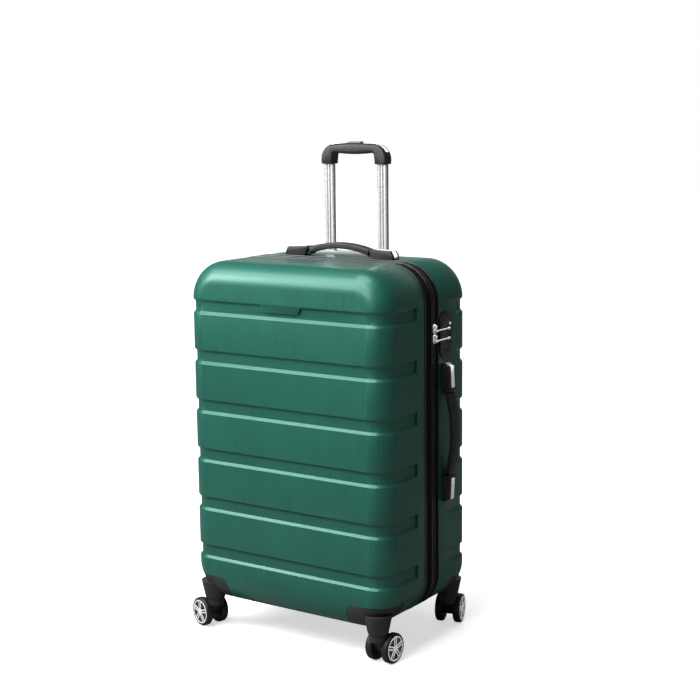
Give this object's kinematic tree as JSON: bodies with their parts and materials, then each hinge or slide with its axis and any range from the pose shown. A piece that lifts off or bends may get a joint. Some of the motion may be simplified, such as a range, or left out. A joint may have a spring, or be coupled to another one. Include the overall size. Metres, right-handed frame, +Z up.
{
  "type": "suitcase",
  "caption": "Hard-shell suitcase on swivelling twin-wheel casters, with a telescopic trolley handle, carry handles on the top and side, a zipped opening and a side lock.",
  "frame": {"origin": "on the floor under the middle of the case, the trolley handle partly pulled out", "axes": "+Z up; -Y is the front face; +X is the side with the lock and the side handle"},
  "size_m": [0.5159, 0.3413, 0.9766],
  "materials": {
    "shell_green": "satin green with a fine vertical grain",
    "guard_black": "matt black, fine texture",
    "piping_black": "satin black",
    "zip_cloth": "woven black tape",
    "zip_teeth": "black coil",
    "zip_metal": "polished nickel",
    "lining_cloth": "grey polyester lining",
    "strap_web": "black woven elastic",
    "handle_black": "dark grey, textured",
    "trim_silver": "satin silver",
    "tube_aluminium": "bright anodised",
    "housing_grey": "light grey",
    "button_grey": "grey, ribbed",
    "lock_black": "black",
    "tyre_black": "black, smooth",
    "rim_silver": "silver with black openings"
  },
  "bodies": {
    "rear_half": {"rear_shell": "shell_green", "rear_piping": "piping_black", "rear_zip_tape": "zip_cloth", "rear_zip_teeth": "zip_teeth", "hinge_fabric": "zip_cloth", "rear_lining": "lining_cloth", "trolley_outer_tubes": "tube_aluminium", "trolley_top_housing": "housing_grey", "trolley_base_bracket": "guard_black", "lock_housing": "lock_black", "top_handle_caps": "handle_black", "side_handle_caps": "handle_black", "handle_trims": "trim_silver", "corner_guard_rear_left": "guard_black", "corner_guard_rear_right": "guard_black", "packing_straps": "strap_web", "strap_buckle": "handle_black"},
    "front_half": {"front_shell": "shell_green", "front_pipings": "piping_black", "gusset": "zip_cloth", "front_zip_teeth": "zip_teeth", "corner_guard_front_left": "guard_black", "corner_guard_front_right": "guard_black", "front_lining": "lining_cloth", "divider_panel": "lining_cloth"},
    "trolley_middle": {"trolley_middle_tubes": "tube_aluminium"},
    "trolley_inner": {"trolley_inner_tubes": "tube_aluminium", "trolley_grip": "handle_black", "trolley_grip_trim": "trim_silver"},
    "trolley_release": {"trolley_button": "button_grey"},
    "top_grip": {"top_handle_grip": "handle_black"},
    "side_grip": {"side_handle_grip": "handle_black"},
    "upper_slider": {"zip_slider_upper": "zip_metal"},
    "lower_slider": {"zip_slider_lower": "zip_metal"},
    "upper_pull": {"zip_pull_upper": "zip_metal"},
    "lower_pull": {"zip_pull_lower": "zip_metal"},
    "key": {"key_cylinder": "trim_silver"},
    "dial_1": {"lock_dial_1": "lock_black"},
    "dial_2": {"lock_dial_2": "lock_black"},
    "dial_3": {"lock_dial_3": "lock_black"},
    "caster_front_right": {"caster_front_right_fork": "guard_black"},
    "wheel_front_right_a": {"caster_front_right_tyre_a": "tyre_black", "caster_front_right_rim_a": "rim_silver"},
    "wheel_front_right_b": {"caster_front_right_tyre_b": "tyre_black", "caster_front_right_rim_b": "rim_silver"},
    "caster_front_left": {"caster_front_left_fork": "guard_black"},
    "wheel_front_left_a": {"caster_front_left_tyre_a": "tyre_black", "caster_front_left_rim_a": "rim_silver"},
    "wheel_front_left_b": {"caster_front_left_tyre_b": "tyre_black", "caster_front_left_rim_b": "rim_silver"},
    "caster_rear_right": {"caster_rear_right_fork": "guard_black"},
    "wheel_rear_right_a": {"caster_rear_right_tyre_a": "tyre_black", "caster_rear_right_rim_a": "rim_silver"},
    "wheel_rear_right_b": {"caster_rear_right_tyre_b": "tyre_black", "caster_rear_right_rim_b": "rim_silver"},
    "caster_rear_left": {"caster_rear_left_fork": "guard_black"},
    "wheel_rear_left_a": {"caster_rear_left_tyre_a": "tyre_black", "caster_rear_left_rim_a": "rim_silver"},
    "wheel_rear_left_b": {"caster_rear_left_tyre_b": "tyre_black", "caster_rear_left_rim_b": "rim_silver"}
  },
  "joints": [
    {"name": "case_opening", "type": "hinge", "parent": "rear_half", "child": "front_half", "pos_m": [-0.237, 0.015, 0.408], "axis": [0, 0, -1], "range_deg": [0, 180]},
    {"name": "trolley_lower_stage", "type": "slide", "parent": "rear_half", "child": "trolley_middle", "axis": [0, 0, 1], "range_m": [0, 0.14]},
    {"name": "trolley_upper_stage", "type": "slide", "parent": "trolley_middle", "child": "trolley_inner", "axis": [0, 0, 1], "range_m": [-0.172, 0]},
    {"name": "trolley_button_press", "type": "slide", "parent": "trolley_inner", "child": "trolley_release", "axis": [0, 0, -1], "range_m": [0, 0.0025], "stiffness_N_per_m": 600, "springref_m": -0.001},
    {"name": "top_handle_lift", "type": "slide", "parent": "rear_half", "child": "top_grip", "axis": [0, 0, 1], "range_m": [0, 0.008]},
    {"name": "side_handle_pull", "type": "slide", "parent": "rear_half", "child": "side_grip", "axis": [1, 0, 0], "range_m": [0, 0.008]},
    {"name": "zip_upper_run", "type": "slide", "parent": "rear_half", "child": "upper_slider", "axis": [0, 0, 1], "range_m": [0, 0.038]},
    {"name": "zip_lower_run", "type": "slide", "parent": "rear_half", "child": "lower_slider", "axis": [0, 0, -1], "range_m": [0, 0.04]},
    {"name": "upper_pull_swing", "type": "hinge", "parent": "upper_slider", "child": "upper_pull", "pos_m": [0.24095, 0.015, 0.6226], "axis": [0, 0, -1], "range_deg": [0, 150]},
    {"name": "lower_pull_swing", "type": "hinge", "parent": "lower_slider", "child": "lower_pull", "pos_m": [0.24095, 0.015, 0.6033], "axis": [0, 0, -1], "range_deg": [0, 150]},
    {"name": "key_turn", "type": "hinge", "parent": "rear_half", "child": "key", "pos_m": [0.239, 0.07, 0.631], "axis": [1, 0, 0], "range_deg": [0, 90]},
    {"name": "dial_1_turn", "type": "hinge", "parent": "rear_half", "child": "dial_1", "pos_m": [0.2344, 0.046, 0.582], "axis": [0, 1, 0], "continuous": true},
    {"name": "dial_2_turn", "type": "hinge", "parent": "rear_half", "child": "dial_2", "pos_m": [0.2344, 0.054, 0.582], "axis": [0, 1, 0], "continuous": true},
    {"name": "dial_3_turn", "type": "hinge", "parent": "rear_half", "child": "dial_3", "pos_m": [0.2344, 0.062, 0.582], "axis": [0, 1, 0], "continuous": true},
    {"name": "caster_front_right_swivel", "type": "hinge", "parent": "front_half", "child": "caster_front_right", "pos_m": [0.198, -0.13, 0.06], "axis": [0, 0, 1], "continuous": true},
    {"name": "wheel_front_right_a_spin", "type": "hinge", "parent": "caster_front_right", "child": "wheel_front_right_a", "pos_m": [0.19905, -0.11003, 0.0295], "axis": [0.9986, -0.0523, 0], "continuous": true},
    {"name": "wheel_front_right_b_spin", "type": "hinge", "parent": "caster_front_right", "child": "wheel_front_right_b", "pos_m": [0.19905, -0.11003, 0.0295], "axis": [0.9986, -0.0523, 0], "continuous": true},
    {"name": "caster_front_left_swivel", "type": "hinge", "parent": "front_half", "child": "caster_front_left", "pos_m": [-0.198, -0.13, 0.06], "axis": [0, 0, 1], "continuous": true},
    {"name": "wheel_front_left_a_spin", "type": "hinge", "parent": "caster_front_left", "child": "wheel_front_left_a", "pos_m": [-0.21713, -0.12415, 0.0295], "axis": [0.2924, 0.9563, 0], "continuous": true},
    {"name": "wheel_front_left_b_spin", "type": "hinge", "parent": "caster_front_left", "child": "wheel_front_left_b", "pos_m": [-0.21713, -0.12415, 0.0295], "axis": [0.2924, 0.9563, 0], "continuous": true},
    {"name": "caster_rear_right_swivel", "type": "hinge", "parent": "rear_half", "child": "caster_rear_right", "pos_m": [0.198, 0.13, 0.06], "axis": [0, 0, 1], "continuous": true},
    {"name": "wheel_rear_right_a_spin", "type": "hinge", "parent": "caster_rear_right", "child": "wheel_rear_right_a", "pos_m": [0.19249, 0.14922, 0.0295], "axis": [0.9613, 0.2756, 0], "continuous": true},
    {"name": "wheel_rear_right_b_spin", "type": "hinge", "parent": "caster_rear_right", "child": "wheel_rear_right_b", "pos_m": [0.19249, 0.14922, 0.0295], "axis": [0.9613, 0.2756, 0], "continuous": true},
    {"name": "caster_rear_left_swivel", "type": "hinge", "parent": "rear_half", "child": "caster_rear_left", "pos_m": [-0.198, 0.13, 0.06], "axis": [0, 0, 1], "continuous": true},
    {"name": "wheel_rear_left_a_spin", "type": "hinge", "parent": "caster_rear_left", "child": "wheel_rear_left_a", "pos_m": [-0.1783, 0.13347, 0.0295], "axis": [0.1736, -0.9848, 0], "continuous": true},
    {"name": "wheel_rear_left_b_spin", "type": "hinge", "parent": "caster_rear_left", "child": "wheel_rear_left_b", "pos_m": [-0.1783, 0.13347, 0.0295], "axis": [0.1736, -0.9848, 0], "continuous": true}
  ]
}
